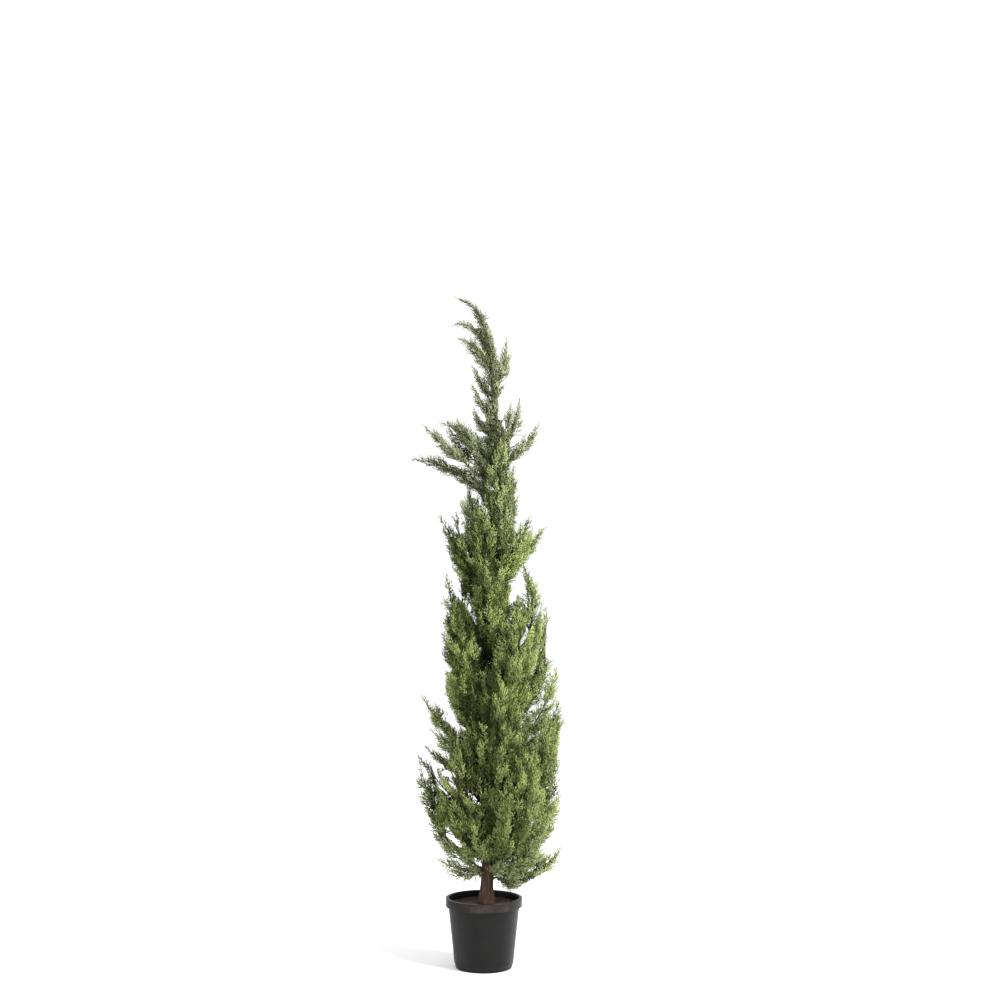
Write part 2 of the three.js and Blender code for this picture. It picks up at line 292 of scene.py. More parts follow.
soil_profile = [(0, soil_low.z), (soil_base_radius, soil_low.z), (soil_top_radius, soil_surface)]
for ring in range(1, soil_rings + 1):
    soil_profile.append((soil_top_radius * (1 - ring / soil_rings), soil_surface))
soil_mesh = turn(soil_profile)
for vertex in soil_mesh.verts:
    if vertex.co.z > soil_level - 2 * crumble:
        lumps = noise.fractal(vertex.co / lump_size, 0.8, 2.2, 5)
        hollow = 0.5 * math.cos(vertex.co.xy.length / soil_top_radius * math.pi)
        vertex.co.z += crumble * max(-1.4, min(1, 0.9 * lumps + hollow))
soil = mesh_object("potting_mix", soil_mesh)

mix = Finish("moist_potting_mix", roughness=0.95, specular=0.25)
crumbs = mix.noise(6 * MM, detail=8)
peat = [(0.3, linear(30, 23, 18)), (0.55, linear(50, 40, 32)), (0.72, linear(80, 65, 51))]
mix.colour(mix.ramp(crumbs, *peat))
mix.relief(crumbs, 1.5 * MM)
fit(soil, mix.material, "soil", "soil")


def joined(name, points, faces):
    """Many small closed shapes as one smooth mesh object. points is (n, 3) and faces is (m, 3)."""
    mesh = bpy.data.meshes.new(name)
    mesh.vertices.add(len(points))
    mesh.vertices.foreach_set("co", np.ascontiguousarray(points, np.float32).ravel())
    mesh.loops.add(faces.size)
    mesh.loops.foreach_set("vertex_index", np.ascontiguousarray(faces, np.int32).ravel())
    mesh.polygons.add(len(faces))
    mesh.polygons.foreach_set("loop_start", np.arange(0, faces.size, 3, dtype=np.int32))
    mesh.update(calc_edges=True)
    return set_down(mesh)


def strewn(shape_points, shape_faces, centres, turns, sizes):
    """Copies of one small shape, each sized by (n, 3), turned by (n, 3, 3) and moved by (n, 3)."""
    sized = shape_points[None] * sizes[:, None, :]
    points = np.einsum("nij,nkj->nki", turns, sized) + centres[:, None, :]
    count = len(shape_points)
    faces = shape_faces[None] + (np.arange(len(centres)) * count)[:, None, None]
    return points.reshape(-1, 3), faces.reshape(-1, 3)


def random_turns(count):
    """Random rotation matrices."""
    spun, _ = np.linalg.qr(rng.normal(size=(count, 3, 3)))
    spun[np.linalg.det(spun) < 0, :, 0] *= -1
    return spun


# Bark chips lie loose on the mix, between the stem and the wall.
rng = np.random.default_rng(1471)
chip_count = 900
chip_size = np.array([3.4, 1.9, 1.1]) * MM
tumbled = 0.35  # the share of chips that lie at any angle, where the others lie flat
chip = bmesh.new()
bmesh.ops.create_icosphere(chip, subdivisions=1, radius=1)
bmesh.ops.triangulate(chip, faces=chip.faces)
chip_points = np.array([vertex.co for vertex in chip.verts])
chip_faces = np.array([[vertex.index for vertex in face.verts] for face in chip.faces])
chip.free()
chip_range = np.sqrt(rng.uniform(0.05, 0.93, chip_count)) * soil_top_radius
chip_angle = rng.uniform(0, math.tau, chip_count)
chip_x = chip_range * np.cos(chip_angle)
chip_y = chip_range * np.sin(chip_angle)
chip_centres = np.stack([chip_x, chip_y, np.full(chip_count, soil_surface)], axis=1)
chip_sizes = rng.uniform(0.6, 1.0, (chip_count, 3)) * chip_size
chip_sizes *= rng.uniform(0.5, 1.5, (chip_count, 1))
tilts = random_turns(chip_count)
tilts = np.where(rng.random(chip_count)[:, None, None] < tumbled, tilts, np.eye(3))
chip_spin = chip_angle * 7
spins = np.zeros((chip_count, 3, 3))
spins[:, 0, 0] = np.cos(chip_spin)
spins[:, 1, 1] = np.cos(chip_spin)
spins[:, 1, 0] = np.sin(chip_spin)
spins[:, 0, 1] = -np.sin(chip_spin)
spins[:, 2, 2] = 1
chips = joined("bark_chips", *strewn(chip_points, chip_faces, chip_centres, spins @ tilts, chip_sizes))
chip_bark = Finish("bark_chip", roughness=0.9, specular=0.3)
chip_grain = chip_bark.noise(7 * MM)
chip_bark.colour(chip_bark.ramp(chip_grain, (0.35, linear(38, 29, 22)), (0.7, linear(92, 74, 57))))
fit(chips, chip_bark.material, "soil", "soil")

# ----------------------------------------------------------------------------
# The trunk: one stem, straight but for a slight lean, from a flared foot on the mix up to the
# nodding leader. The bark is thin, red-brown, and splits lengthwise into shallow fibrous strips.


def cad_mesh(node):
    """A CAD node's surface as a bmesh."""
    bm = bmesh.new()
    bm.from_mesh(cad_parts[node].data)
    return bm


def section(bm, point, normal):
    """Centre and mean radius of the section that a plane cuts, or None where it cuts nothing."""
    cut = bm.copy()
    found = bmesh.ops.bisect_plane(
        cut,
        geom=cut.verts[:] + cut.edges[:] + cut.faces[:],
        dist=1e-7,
        plane_co=point,
        plane_no=normal,
    )["geom_cut"]
    edges = [part for part in found if isinstance(part, bmesh.types.BMEdge)]
    ends = np.array([[vertex.co[:] for vertex in edge.verts] for edge in edges])
    cut.free()
    if not len(ends):
        return None
    lengths = np.linalg.norm(ends[:, 0] - ends[:, 1], axis=1) + 1e-9
    middles = ends.mean(axis=1)
    centre = np.average(middles, axis=0, weights=lengths)
    radius = np.average(np.linalg.norm(middles - centre, axis=1), weights=lengths)
    return centre, radius


def limb_line(node, stations):
    """A limb's or plume's lower end, its tip, and the line between as (share, x, y, z, radius) rows."""
    bm = cad_mesh(node)
    points = np.array([vertex.co for vertex in bm.verts])
    middle = points.mean(axis=0)
    along = np.linalg.svd(points - middle, full_matrices=False)[2][0]
    along *= np.sign(along[2])
    reach = (points - middle) @ along
    foot, tip = points[reach.argmin()], points[reach.argmax()]
    rows = []
    for share in np.linspace(0, 1, stations + 2)[1:-1]:
        cut = section(bm, foot + (tip - foot) * share, tip - foot)
        if cut:
            rows.append((share, *cut[0], cut[1]))
    bm.free()
    return foot, tip, np.array(rows)


TRUNK_SECTIONS = 40
trunk_low, trunk_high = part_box("trunk")
trunk_cad = cad_mesh("trunk")
trunk_rows = []
for share in np.linspace(0.002, 0.996, TRUNK_SECTIONS):
    height = trunk_low.z + (trunk_high.z - trunk_low.z) * share
    centre, radius = section(trunk_cad, Vector((0, 0, height)), Vector((0, 0, 1)))
    trunk_rows.append((*centre, radius))
trunk_cad.free()
trunk_rows = np.array(trunk_rows)


def stem_at(height):
    """The trunk's axis and radius at a height, as (x, y, z, radius)."""
    height = np.clip(height, trunk_rows[0, 2], trunk_rows[-1, 2])
    return np.array([np.interp(height, trunk_rows[:, 2], trunk_rows[:, column]) for column in range(4)])


def smooth_line(points, spacing):
    """Points about spacing apart on a smooth curve through the given points."""
    line = [Vector(point) for point in points]
    made = []
    for index in range(len(line) - 1):
        before = line[max(index - 1, 0)]
        start, end = line[index], line[index + 1]
        after = line[min(index + 2, len(line) - 1)]
        steps = max(1, round((end - start).length / spacing))
        for step in range(steps):
            t = step / steps
            made.append(
                0.5
                * (
                    2 * start
                    + (end - before) * t
                    + (2 * before - 5 * start + 4 * end - after) * t**2
                    + (3 * start - before - 3 * end + after) * t**3
                )
            )
    return made + [line[-1]]


def grown_limb(path, thickness, sides, bark):
    """A limb extruded ring by ring along a path, closed at both ends. thickness(share) is its radius,
    and bark(point, outward, share) is how far the bark stands out there."""
    bm = bmesh.new()
    ring = bmesh.ops.create_circle(bm, segments=sides, radius=1, cap_ends=True)["verts"]
    headings = [(after - before).normalized() for before, after in zip(path, path[1:])]
    headings.append(headings[-1])
    facing = headings[0].to_track_quat("Z", "Y")
    was = Matrix.Identity(4)
    last = len(path) - 1
    rings = []
    for index, (point, heading) in enumerate(zip(path, headings)):
        if index:
            facing = headings[index - 1].rotation_difference(heading) @ facing
            grown = bmesh.ops.extrude_edge_only(bm, edges=edges)["geom"]
            ring = [part for part in grown if isinstance(part, bmesh.types.BMVert)]
        now = Matrix.LocRotScale(point, facing, (max(thickness(index / last), 0.0002),) * 3)
        bmesh.ops.transform(bm, matrix=now @ was.inverted(), verts=ring)
        was = now
        members = set(ring)
        edges = [edge for edge in bm.edges if edge.verts[0] in members and edge.verts[1] in members]
        rings.append((ring, point, index / last))
    for ring, point, share in rings:
        for vertex in ring:
            outward = (vertex.co - point).normalized()
            vertex.co += outward * bark(vertex.co, outward, share)
    bmesh.ops.edgeloop_fill(bm, edges=edges)
    bmesh.ops.recalc_face_normals(bm, faces=bm.faces)
    return bm


BARK_STRIPS = 3.4  # how closely the strips stand round the stem
STRIP_LENGTH = 90 * MM
FIBRE_STRIPS = 9
FIBRE_LENGTH = 0.35 * STRIP_LENGTH


def fibrous(radius):
    """Bark relief for a limb of that radius: long strips that stand proud, with finer fibres on them."""
    depth = min(1.5 * MM, radius * 0.09)

    def stands_out(point, outward, share):
        strip = Vector((outward.x * BARK_STRIPS, outward.y * BARK_STRIPS, point.z / STRIP_LENGTH))
        fibre = Vector((outward.x * FIBRE_STRIPS, outward.y * FIBRE_STRIPS, point.z / FIBRE_LENGTH))
        ridge = 1 - 2 * abs(noise.noise(strip * 1.7))
        return depth * (1.5 * ridge + 0.7 * noise.noise(fibre) - 0.6) * (1 - 0.8 * share)

    return stands_out


ring_spacing = 11 * MM
trunk_sides = 56
trunk_set_in = 7 * MM  # the foot goes on a little below the loose surface of the mix
foot_centre = Vector(trunk_rows[0, :3])
foot_centre.z = soil_level - trunk_set_in
trunk_tip = Vector(trunk_rows[-1, :3])
trunk_tip.z = trunk_high.z
trunk_path = smooth_line([foot_centre, *trunk_rows[1:, :3], trunk_tip], ring_spacing)
trunk_heights = np.array([point.z for point in trunk_path])


def trunk_thickness(share):
    """The trunk's radius along its path, drawn in to a point at the very tip."""
    height = trunk_heights[round(share * (len(trunk_heights) - 1))]
    return max(stem_at(height)[3] * 1.02, 1.4 * MM) * min(1, (1 - share) * 60 + 0.15)


trunk_mesh = grown_limb(trunk_path, trunk_thickness, trunk_sides, fibrous(24 * MM))
trunk = mesh_object("cypress_trunk", trunk_mesh)


def bark_finish(name, tones, depth, young=None):
    """Fibrous cypress bark: long streaks from dark furrow to pale ridge, with a fibrous bump. Where a
    colour for young bark is given, the bark turns to it towards the leader."""
    dark, middle, light = [linear(*tone) for tone in tones]
    bark = Finish(name, roughness=0.85, specular=0.3)
    streaks = bark.noise(9 * MM, detail=7, stretch=(1, 1, 0.12))
    patches = bark.noise(70 * MM, detail=3)
    streaked = bark.ramp(streaks, (0.3, dark), (0.52, middle), (0.72, light))
    aged = bark.blend(bark.between(patches, 0, 0.5), streaked, middle)
    if young:
        height = bark.node("ShaderNodeSeparateXYZ", Vector=bark.place()).outputs["Z"]
        aged = bark.blend(bark.between(height, 0, 1, 1.5, 2.1), aged, linear(*young))
    bark.colour(aged)
    bark.rough(bark.between(streaks, 0.7, 0.95))
    bark.relief(streaks, depth)
    return bark.material


trunk_tones = [(32, 20, 14), (63, 43, 31), (89, 66, 50)]
trunk_bark = bark_finish("trunk_bark", trunk_tones, 1.2 * MM, young=(60, 62, 38))
fit(trunk, trunk_bark, "bark", "trunk")

# ----------------------------------------------------------------------------
# The boughs: slim limbs that leave the trunk at a narrow angle and bend upwards. Seven of them show
# bare before their foliage starts, and the others are inside it. Each runs up the middle of its plume.
BARE_BOUGHS = """bough_right_feather bough_left_fan_middle bough_left_long_spray bough_left_bent_arm
    bough_left_low_spray bough_skirt_right bough_skirt_left""".split()
bough_spacing = 16 * MM
bough_sides = 14
slim_bough_sides = 8
twig_radius = 1.1 * MM

# How much skin each boughlet has to cover, as a share of the usual. Plumes that stand out on their own
# hold more boughlets, and the thin sprays near the pot hold fewer.
SKIN_EACH = {
    "right_flank_upper": 0.65,
    "right_flank_lower": 0.75,
    "right_arm_plume": 0.8,
    "right_spire": 0.68,
    "neck_left": 0.7,
    "left_shoulder_inner": 0.75,
    "left_shoulder_outer": 0.8,
    "right_shoulder_inner": 0.9,
    "right_shoulder_outer": 0.7,
    "left_fan_upper": 0.65,
    "middle_front_left_plume": 0.92,
    "left_low_spray": 1.15,
    "skirt_left": 1.2,
    "left_bent_arm": 1.05,
}


class Plume:
    """One mass of foliage, read from its CAD solid: the line of its bough and its skin."""

    def __init__(self, node):
        self.node = node
        foot, tip, rows = limb_line(node, 12)
        self.girth = rows[:, 4].max()
        lead = []
        if f"bough_{node}" in BARE_BOUGHS:
            _, _, bough_rows = limb_line(f"bough_{node}", 5)
            lead = [row[1:4] for row in bough_rows]
        start = np.array(lead[0] if lead else rows[0, 1:4])
        reach = np.linalg.norm(start[:2] - stem_at(start[2])[:2])
        # the bough leaves the trunk below the first point of its line, so that it goes up from there
        root = stem_at(start[2] - 0.45 * reach - 6 * MM)[:3]
        line = [root, *lead, foot, *rows[:, 1:4], foot + (tip - foot) * 0.985]
        if reach < 8 * MM:
            line = [root, *rows[:, 1:4], foot + (tip - foot) * 0.985]
        self.path = smooth_line(line, bough_spacing)
        self.leafy_from = foot
        self.points = np.array(self.path)
        steps = np.linalg.norm(np.diff(self.points, axis=0), axis=1)
        self.lengths = np.concatenate([[0], np.cumsum(steps)])
        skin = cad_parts[node].data
        self.skin_points = np.array([vertex.co for vertex in skin.vertices])
        self.skin_faces = np.array([polygon.vertices for polygon in skin.polygons])
        self.radius = 1.6 * MM + 0.005 * self.lengths[-1]
        # square metres of skin to a boughlet
        self.patch = np.clip(10e-4 * (self.girth / (60 * MM)) ** 1.2, 2.4e-4, 10.5e-4)
        self.patch *= SKIN_EACH.get(node, 1)
        self.shoot = np.clip(13 * MM + 0.3 * self.girth, 16 * MM, 34 * MM)
        # on slim plumes the shoots lie closer along the boughlets, and rise less
        self.spread = np.clip((self.girth - 20 * MM) / (35 * MM), 0, 1)

    def at(self, distance):
        """Points on the bough at distances along it from the trunk."""
        found = [np.interp(distance, self.lengths, self.points[:, axis]) for axis in range(3)]
        return np.stack(found, axis=-1)

    def shoots_at(self, distance):
        """How long the leafy shoots are there: they shorten towards the plume's tip."""
        left = self.lengths[-1] - distance
        return self.shoot * np.clip(left / (45 * MM + 0.4 * self.girth), 0.62, 1)


ZONES = {
    "top": """leader_plume top_left_plume_1 top_left_plume_2 top_right_plume top_left_plume_3
        leader_sleeve top_left_plume_4 top_left_plume_5 top_right_fork_inner top_right_fork_outer
        right_feather left_fan_upper left_fan_middle left_long_spray""",
    "neck": "neck_front neck_right neck_back neck_left",
    "shoulder": """left_shoulder_outer left_shoulder_inner right_shoulder_outer right_shoulder_inner
        right_spire left_spire upper_front_plume upper_back_plume""",
    "middle": """right_arm_plume right_middle_plume left_high_arm left_middle_arm left_bent_arm
        left_back_arm middle_front_left_plume middle_front_right_plume middle_back_right_plume
        middle_back_left_plume""",
    "lower": """right_flank_upper right_flank_lower lower_left_plume lower_front_plume lower_back_plume
        base_front_right_plume base_front_left_plume base_back_right_plume base_back_left_plume""",
    "skirt": "skirt_right skirt_left skirt_back right_low_spray left_low_spray",
}
zones = {zone: [Plume(node) for node in nodes.split()] for zone, nodes in ZONES.items()}

bough_bark = bark_finish("bough_bark", [(40, 30, 22), (68, 53, 40), (98, 80, 63)], 0.5 * MM)
for zone, plumes in zones.items():
    together = bmesh.new()
    for plume in plumes:
        thick = plume.radius
        limb = grown_limb(
            plume.path,
            lambda share: thick * (1 - share) ** 0.8 + twig_radius * 0.5,
            bough_sides if plume.girth > 50 * MM else slim_bough_sides,
            fibrous(thick),
        )
        grown = bpy.data.meshes.new("limb")
        limb.to_mesh(grown)
        limb.free()
        together.from_mesh(grown)
        bpy.data.meshes.remove(grown)
    boughs = mesh_object(f"{zone}_boughs", together)
    stood_for = [plume.node for plume in plumes]
    stood_for += [bough for bough in BARE_BOUGHS if bough.removeprefix("bough_") in stood_for]
    fit(boughs, bough_bark, "bark", *stood_for)

# ----------------------------------------------------------------------------
# The foliage: every plume is a bough set all round with boughlets, each boughlet with leafy shoots,
# and each shoot with short cords of overlapping scale leaves. All of them bend up to the light.
# Tints go by spray: deep inside and on old growth, mid green over most of it, fresh green at tips. The
# deep tint also serves as painted shade on sprays that see little sky, and the fresh tint as painted
# light on those in the open.
UP = np.array([0.0, 0.0, 1.0])


def unit(vectors):
    """The same directions, one unit long."""
    return vectors / (np.linalg.norm(vectors, axis=-1, keepdims=True) + 1e-12)


def across(directions):
    """Two directions at right angles to each one given and to each other."""
    helper = np.where(np.abs(directions[:, 2:]) < 0.9, UP, np.array([1.0, 0.0, 0.0]))
    side = unit(np.cross(directions, helper))
    return side, np.cross(directions, side)


def bezier(controls, share):
    """Points on quadratic curves. controls is (n, 3, 3) and share is (n,)."""
    share = share[:, None]
    first, second, third = controls[:, 0], controls[:, 1], controls[:, 2]
    return first * (1 - share) ** 2 + 2 * second * share * (1 - share) + third * share**2


def heading(controls, share):
    """Which way quadratic curves run at a share of their length."""
    share = share[:, None]
    first = controls[:, 1] - controls[:, 0]
    second = controls[:, 2] - controls[:, 1]
    return unit(first * (1 - share) + second * share)


def shoots(controls, radius, rings):
    """Tapering three-sided shoots along quadratic curves, closed at the foot and pointed at the tip."""
    count = len(controls)
    ring_points = []
    for ring in range(rings):
        share = np.full(count, ring / rings)
        centre = bezier(controls, share)
        side, other = across(heading(controls, share))
        thick = (radius * (1 - 0.75 * ring / rings))[:, None]
        for corner in range(3):
            angle = corner * math.tau / 3
            ring_points.append(centre + thick * (math.cos(angle) * side + math.sin(angle) * other))
    points = np.stack(ring_points + [controls[:, 2]], axis=1)
    faces = [(2, 1, 0)]
    for ring in range(rings - 1):
        for corner in range(3):
            here, beside = ring * 3 + corner, ring * 3 + (corner + 1) % 3
            faces += [(here, beside, beside + 3), (here, beside + 3, here + 3)]
    tip = rings * 3
    faces += [(tip - 3 + corner, tip - 3 + (corner + 1) % 3, tip) for corner in range(3)]
    faces = np.array(faces)[None] + (np.arange(count) * (tip + 1))[:, None, None]
    return points.reshape(-1, 3), faces.reshape(-1, 3)


# A cord of scale leaves is a slim keeled spindle of four faces, one unit long and one across, with its
# foot at the origin: a straight keel from foot to tip, and two shoulders beside it.
cord_mesh = bmesh.new()
for corner in [(0, 0, 0), (0, 0, 1), (0.5, 0.75, 0.42), (-0.5, 0.75, 0.42)]:
    cord_mesh.verts.new(corner)
bmesh.ops.convex_hull(cord_mesh, input=cord_mesh.verts)
bmesh.ops.recalc_face_normals(cord_mesh, faces=cord_mesh.faces)
cord_mesh.verts.index_update()
CORD_POINTS = np.array([vertex.co for vertex in cord_mesh.verts])
CORD_FACES = np.array([[vertex.index for vertex in face.verts] for face in cord_mesh.faces])
cord_mesh.free()

GOLDEN_ANGLE = math.radians(137.5)
SHOOT_SPACING = 8.5 * MM
LEAFY_SHARE = 0.18  # a boughlet is bare wood up to here
STALK_RADIUS = 1.6 * MM  # of a shoot, under its cords
CORD_SPACING = 4.7 * MM
CORD_THICKNESS = 3.5 * MM
CORD_LENGTH = 7 * MM
CORD_SHARE = 0.36  # and longer by this share of the shoot's length
INNER_COARSE = 1.7  # inside the crown the cords stand this much wider apart, and are as much thicker
INNER_LONG = 1.3
STEM_HEIGHTS = [0.42, 1.9, 2.15, 2.55]
STEM_REACHES = [0.105, 0.085, 0.05, 0.03]  # of the boughlets on the trunk, at those heights
TINT_STEPS = [0.5, 0.88]  # how fresh a spray is, with its painted light and shade, where it turns from deep to mid, and to fresh
PAINTED_SUN_SIDE = np.array([0.55, -0.25, 0.0])  # painted light: how much lighter the sprays' tints are dealt per metre that way, towards the lamps at the right and front
CLUMP = np.array([62, 62, 105]) * MM  # the size of a clump of sprays, which rises with its boughlets
CLUMP_PAINTED_SHADE = 0.24  # painted shade: how much lighter the clumps' tints are dealt than usual, and how much darker those in the hollows between them
VIGOUR = 0.3  # how unlike each other the boughlets are
STEM_MOOD = -0.12
SKY_RAYS = 20
DIM = 0.13  # below this share of open sky, a spray is inside the crown
ZONE_SEED = 907

# How far each plume's tints are shifted towards fresh, and below zero towards deep. Those not named keep
# the usual tints.
MOODS = {
    "leader_plume": 0.12,
    "top_left_plume_1": 0.6,
    "top_left_plume_2": 0.28,
    "top_left_plume_3": -0.05,
    "top_left_plume_4": 0.1,
    "top_right_plume": 0.38,
    "leader_sleeve": 0.37,
    "top_right_fork_inner": 0.1,
    "top_right_fork_outer": 0.3,
    "right_feather": 0.3,
    "left_fan_upper": 0.22,
    "left_fan_middle": 0.44,
    "top_left_plume_5": 0.52,
    "neck_front": -0.18,
    "neck_left": 0.35,
    "left_shoulder_outer": -0.1,
    "left_shoulder_inner": -0.1,
    "right_shoulder_inner": 0.38,
    "right_shoulder_outer": 0.3,
    "upper_front_plume": -0.07,
    "right_spire": 0.35,
    "left_spire": 0.42,
    "middle_front_left_plume": 0.1,
    "middle_front_right_plume": 0.14,
    "right_arm_plume": 0.1,
    "right_middle_plume": 0.65,
    "left_high_arm": 0.7,
    "left_bent_arm": 0.2,
    "left_middle_arm": 0.1,
    "left_back_arm": 0.1,
    "left_long_spray": 0.05,
    "lower_left_plume": -0.1,
    "lower_front_plume": -0.12,
    "right_flank_upper": 0.25,
    "right_flank_lower": 0.2,
    "base_front_left_plume": 0.28,
    "base_front_right_plume": 0.1,
    "left_low_spray": 0.6,
    "right_low_spray": 0.95,
    "skirt_left": 0.7,
    "skirt_right": 0.35,
}

# The tree's best side is looked at from this point. The sky shows right through the crown there, in
# narrow gaps beside the stem and between the boughs. Each runs from one place (x, z) to another, so far
# to each side, in millimetres on the upright plane through the stem.
FRONT_EYE = np.array([27.8, -6000, 1480]) * MM
STOP_SHORT = 0.6  # a boughlet that would end in a gap stops at this share of its length
SKY_GAPS = [
    (-38, 2530, -18, 2530, 6),
    (-12, 2250, 24, 2234, 8),
    (-24, 2200, -20, 2178, 4),
    (-16, 2178, 0, 2156, 9),
    (-22, 2094, 8, 2094, 6),
    (68, 2232, 68, 2164, 12),
    (78, 2140, 92, 2112, 6),
    (130, 2108, 112, 2052, 9),
    (92, 2316, 70, 2300, 10),
    (-135, 2058, -130, 2052, 4),
    (-120, 2100, -118, 2094, 6),
    (-90, 2050, -88, 2044, 6),
    (-50, 2004, -50, 1972, 6),
    (-140, 1984, -68, 1970, 10),
    (-52, 1856, -40, 1850, 7),
    (24, 1884, 34, 1874, 6),
    (6, 1798, 6, 1778, 5),
    (-98, 1712, -88, 1706, 6),
    (-106, 1458, -68, 1420, 6),
    (-68, 1420, -44, 1378, 6),
    (-44, 1378, -32, 1346, 4),
    (222, 1402, 176, 1326, 9),
    (176, 1326, 150, 1262, 8),
    (98, 1370, 104, 1358, 3.5),
    (112, 1440, 128, 1470, 12),
    (150, 1502, 156, 1474, 8),
    (262, 1330, 262, 1214, 14),
    (-172, 1184, -138, 1160, 10),
    (-172, 1165, -168, 1075, 13),
    (190, 1244, 196, 1232, 4),
    (228, 1244, 226, 1232, 4),
    (262, 1028, 196, 1008, 5.5),
    (226, 984, 190, 952, 4),
    (-158, 972, -122, 944, 6),
    (322, 925, 312, 815, 16),
    (-122, 944, -76, 924, 4.5),
    (-246, 768, -228, 742, 8),
    (-152, 752, -112, 748, 10),
    (-196, 772, -176, 716, 6),
    (-205, 792, -168, 776, 8),
    (-132, 716, -116, 696, 9),
    (-174, 702, -152, 684, 6),
    (-148, 676, -130, 658, 9),
    (-76, 682, -48, 672, 11),
    (-46, 676, -24, 640, 14),
    (-148, 542, -138, 516, 5),
    (-138, 514, -94, 472, 9),
    (156, 586, 160, 578, 6),
    (180, 560, 194, 552, 5),
    (-38, 428, -10, 392, 3),
    (120, 274, 240, 350, 14),
    (80, 412, 108, 414, 6),
]
# Sprays that stand out there, given in the same way, with how much fresher they are; where that is below
# zero, painted shade darkens them in the shadowed hollows of the crown.
ACCENTS_AND_PAINTED_SHADE = [
    (8, 1750, 6, 1722, 8, 0.5),
    (62, 1634, 92, 1664, 12, 1.0),
    (0, 1640, 8, 1600, 14, -0.6),
    (28, 1585, 48, 1540, 10, -0.6),
    (48, 1540, 36, 1460, 8, -0.6),
    (5, 1580, 18, 1480, 10, 0.7),
    (-50, 1545, -25, 1500, 22, -0.6),
    (-78, 1500, -76, 1455, 10, -0.9),
    (30, 1450, 28, 1370, 18, 0.35),
    (88, 1382, 112, 1408, 8, -0.8),
    (50, 1380, 60, 1330, 20, 0.4),
    (92, 1310, 94, 1090, 14, -0.5),
    (-90, 1250, -50, 1240, 20, 0.5),
    (14, 1225, 30, 1080, 16, -1.0),
    (-55, 1200, -45, 1165, 14, -0.5),
    (165, 1135, 175, 1128, 8, 0.8),
    (145, 1092, 212, 1142, 9, -0.6),
    (-55, 1050, -50, 1000, 12, -0.6),
    (88, 1040, 85, 990, 10, 0.4),
    (110, 1010, 106, 940, 16, -0.4),
    (28, 1000, 30, 900, 13, -0.6),
    (-30, 970, 5, 945, 14, -0.8),
    (35, 860, 100, 855, 10, -0.5),
    (125, 840, 130, 750, 14, -0.5),
    (110, 822, 84, 750, 12, 0.4),
    (-45, 800, -12, 748, 18, -0.5),
    (50, 762, 98, 742, 12, 0.5),
    (-200, 750, -196, 600, 12, -0.7),
    (-78, 706, -46, 706, 16, -1.4),
    (86, 690, 70, 660, 12, 0.5),
    (-85, 640, -50, 570, 22, -0.5),
    (-146, 608, -120, 600, 12, 0.6),
    (16, 600, 18, 515, 18, -0.5),
    (-140, 532, -105, 530, 10, 0.7),
    (58, 520, 96, 530, 16, 0.3),
]

# Light reaches a boughlet from those directions in which no other plume stands in the way.
crown = [plume for plumes in zones.values() for plume in plumes]
skin_count = np.cumsum([0] + [len(plume.skin_points) for plume in crown])
crown_skin = BVHTree.FromPolygons(
    np.concatenate([plume.skin_points for plume in crown]).tolist(),
    np.concatenate([plume.skin_faces + before for plume, before in zip(crown, skin_count)]).tolist(),
)
ray_order = np.arange(SKY_RAYS) + 0.5
ray_height = 1 - 1.35 * ray_order / SKY_RAYS
ray_turn = ray_order * GOLDEN_ANGLE
ray_reach = np.sqrt(1 - ray_height**2)
sky_rays = np.stack([ray_reach * np.cos(ray_turn), ray_reach * np.sin(ray_turn), ray_height], axis=1)


def open_sky(points):
    """The share of the sky, from 0 to 1, that each point sees past the plumes."""
    rays = sky_rays.tolist()
    seen = [[crown_skin.ray_cast(point, ray)[0] is None for ray in rays] for point in points.tolist()]
    return np.mean(seen, axis=1)


def clumped(points):
    """From -1 in the hollows between clumps of sprays to 1 on the clumps themselves."""
    scaled = points / CLUMP
    return np.clip([2.2 * noise.noise(Vector(point)) for point in scaled.tolist()], -1, 1)


def off_line(points, line):
    """How far points lie, as seen from the front, from a line (x, z, x, z) in millimetres."""
    eye = FRONT_EYE[[0, 2]]
    seen = eye + (points[:, [0, 2]] - eye) * (FRONT_EYE[1] / (FRONT_EYE[1] - points[:, 1]))[:, None]
    start, end = np.array(line[:2]) * MM, np.array(line[2:4]) * MM
    run = end - start
    share = np.clip((seen - start) @ run / (run @ run), 0, 1)
    return np.linalg.norm(seen - start - share[:, None] * run, axis=1)


def in_gap(points):
    """Whether each point lies in one of the gaps where the sky shows."""
    return np.any([off_line(points, gap) < gap[4] * MM for gap in SKY_GAPS], axis=0)


def accent_and_painted_shade(points):
    """How much fresher than its plume each point is, less the painted shade that darkens it in shadowed
    hollows.
    """
    fresher_and_shaded = np.zeros(len(points))
    for *line, width, amount in ACCENTS_AND_PAINTED_SHADE:
        fresher_and_shaded += amount * np.clip(1.5 - off_line(points, line) / (width * MM), 0, 1)
    return fresher_and_shaded


def cleared(controls):
    """The same curves, but those that would end in a gap stop well short of it."""
    share = np.where(in_gap(controls[:, 2]), STOP_SHORT, 1)
    foot, bend = controls[:, 0], controls[:, 1]
    return np.stack([foot, foot + (bend - foot) * share[:, None], bezier(controls, share)], axis=1)


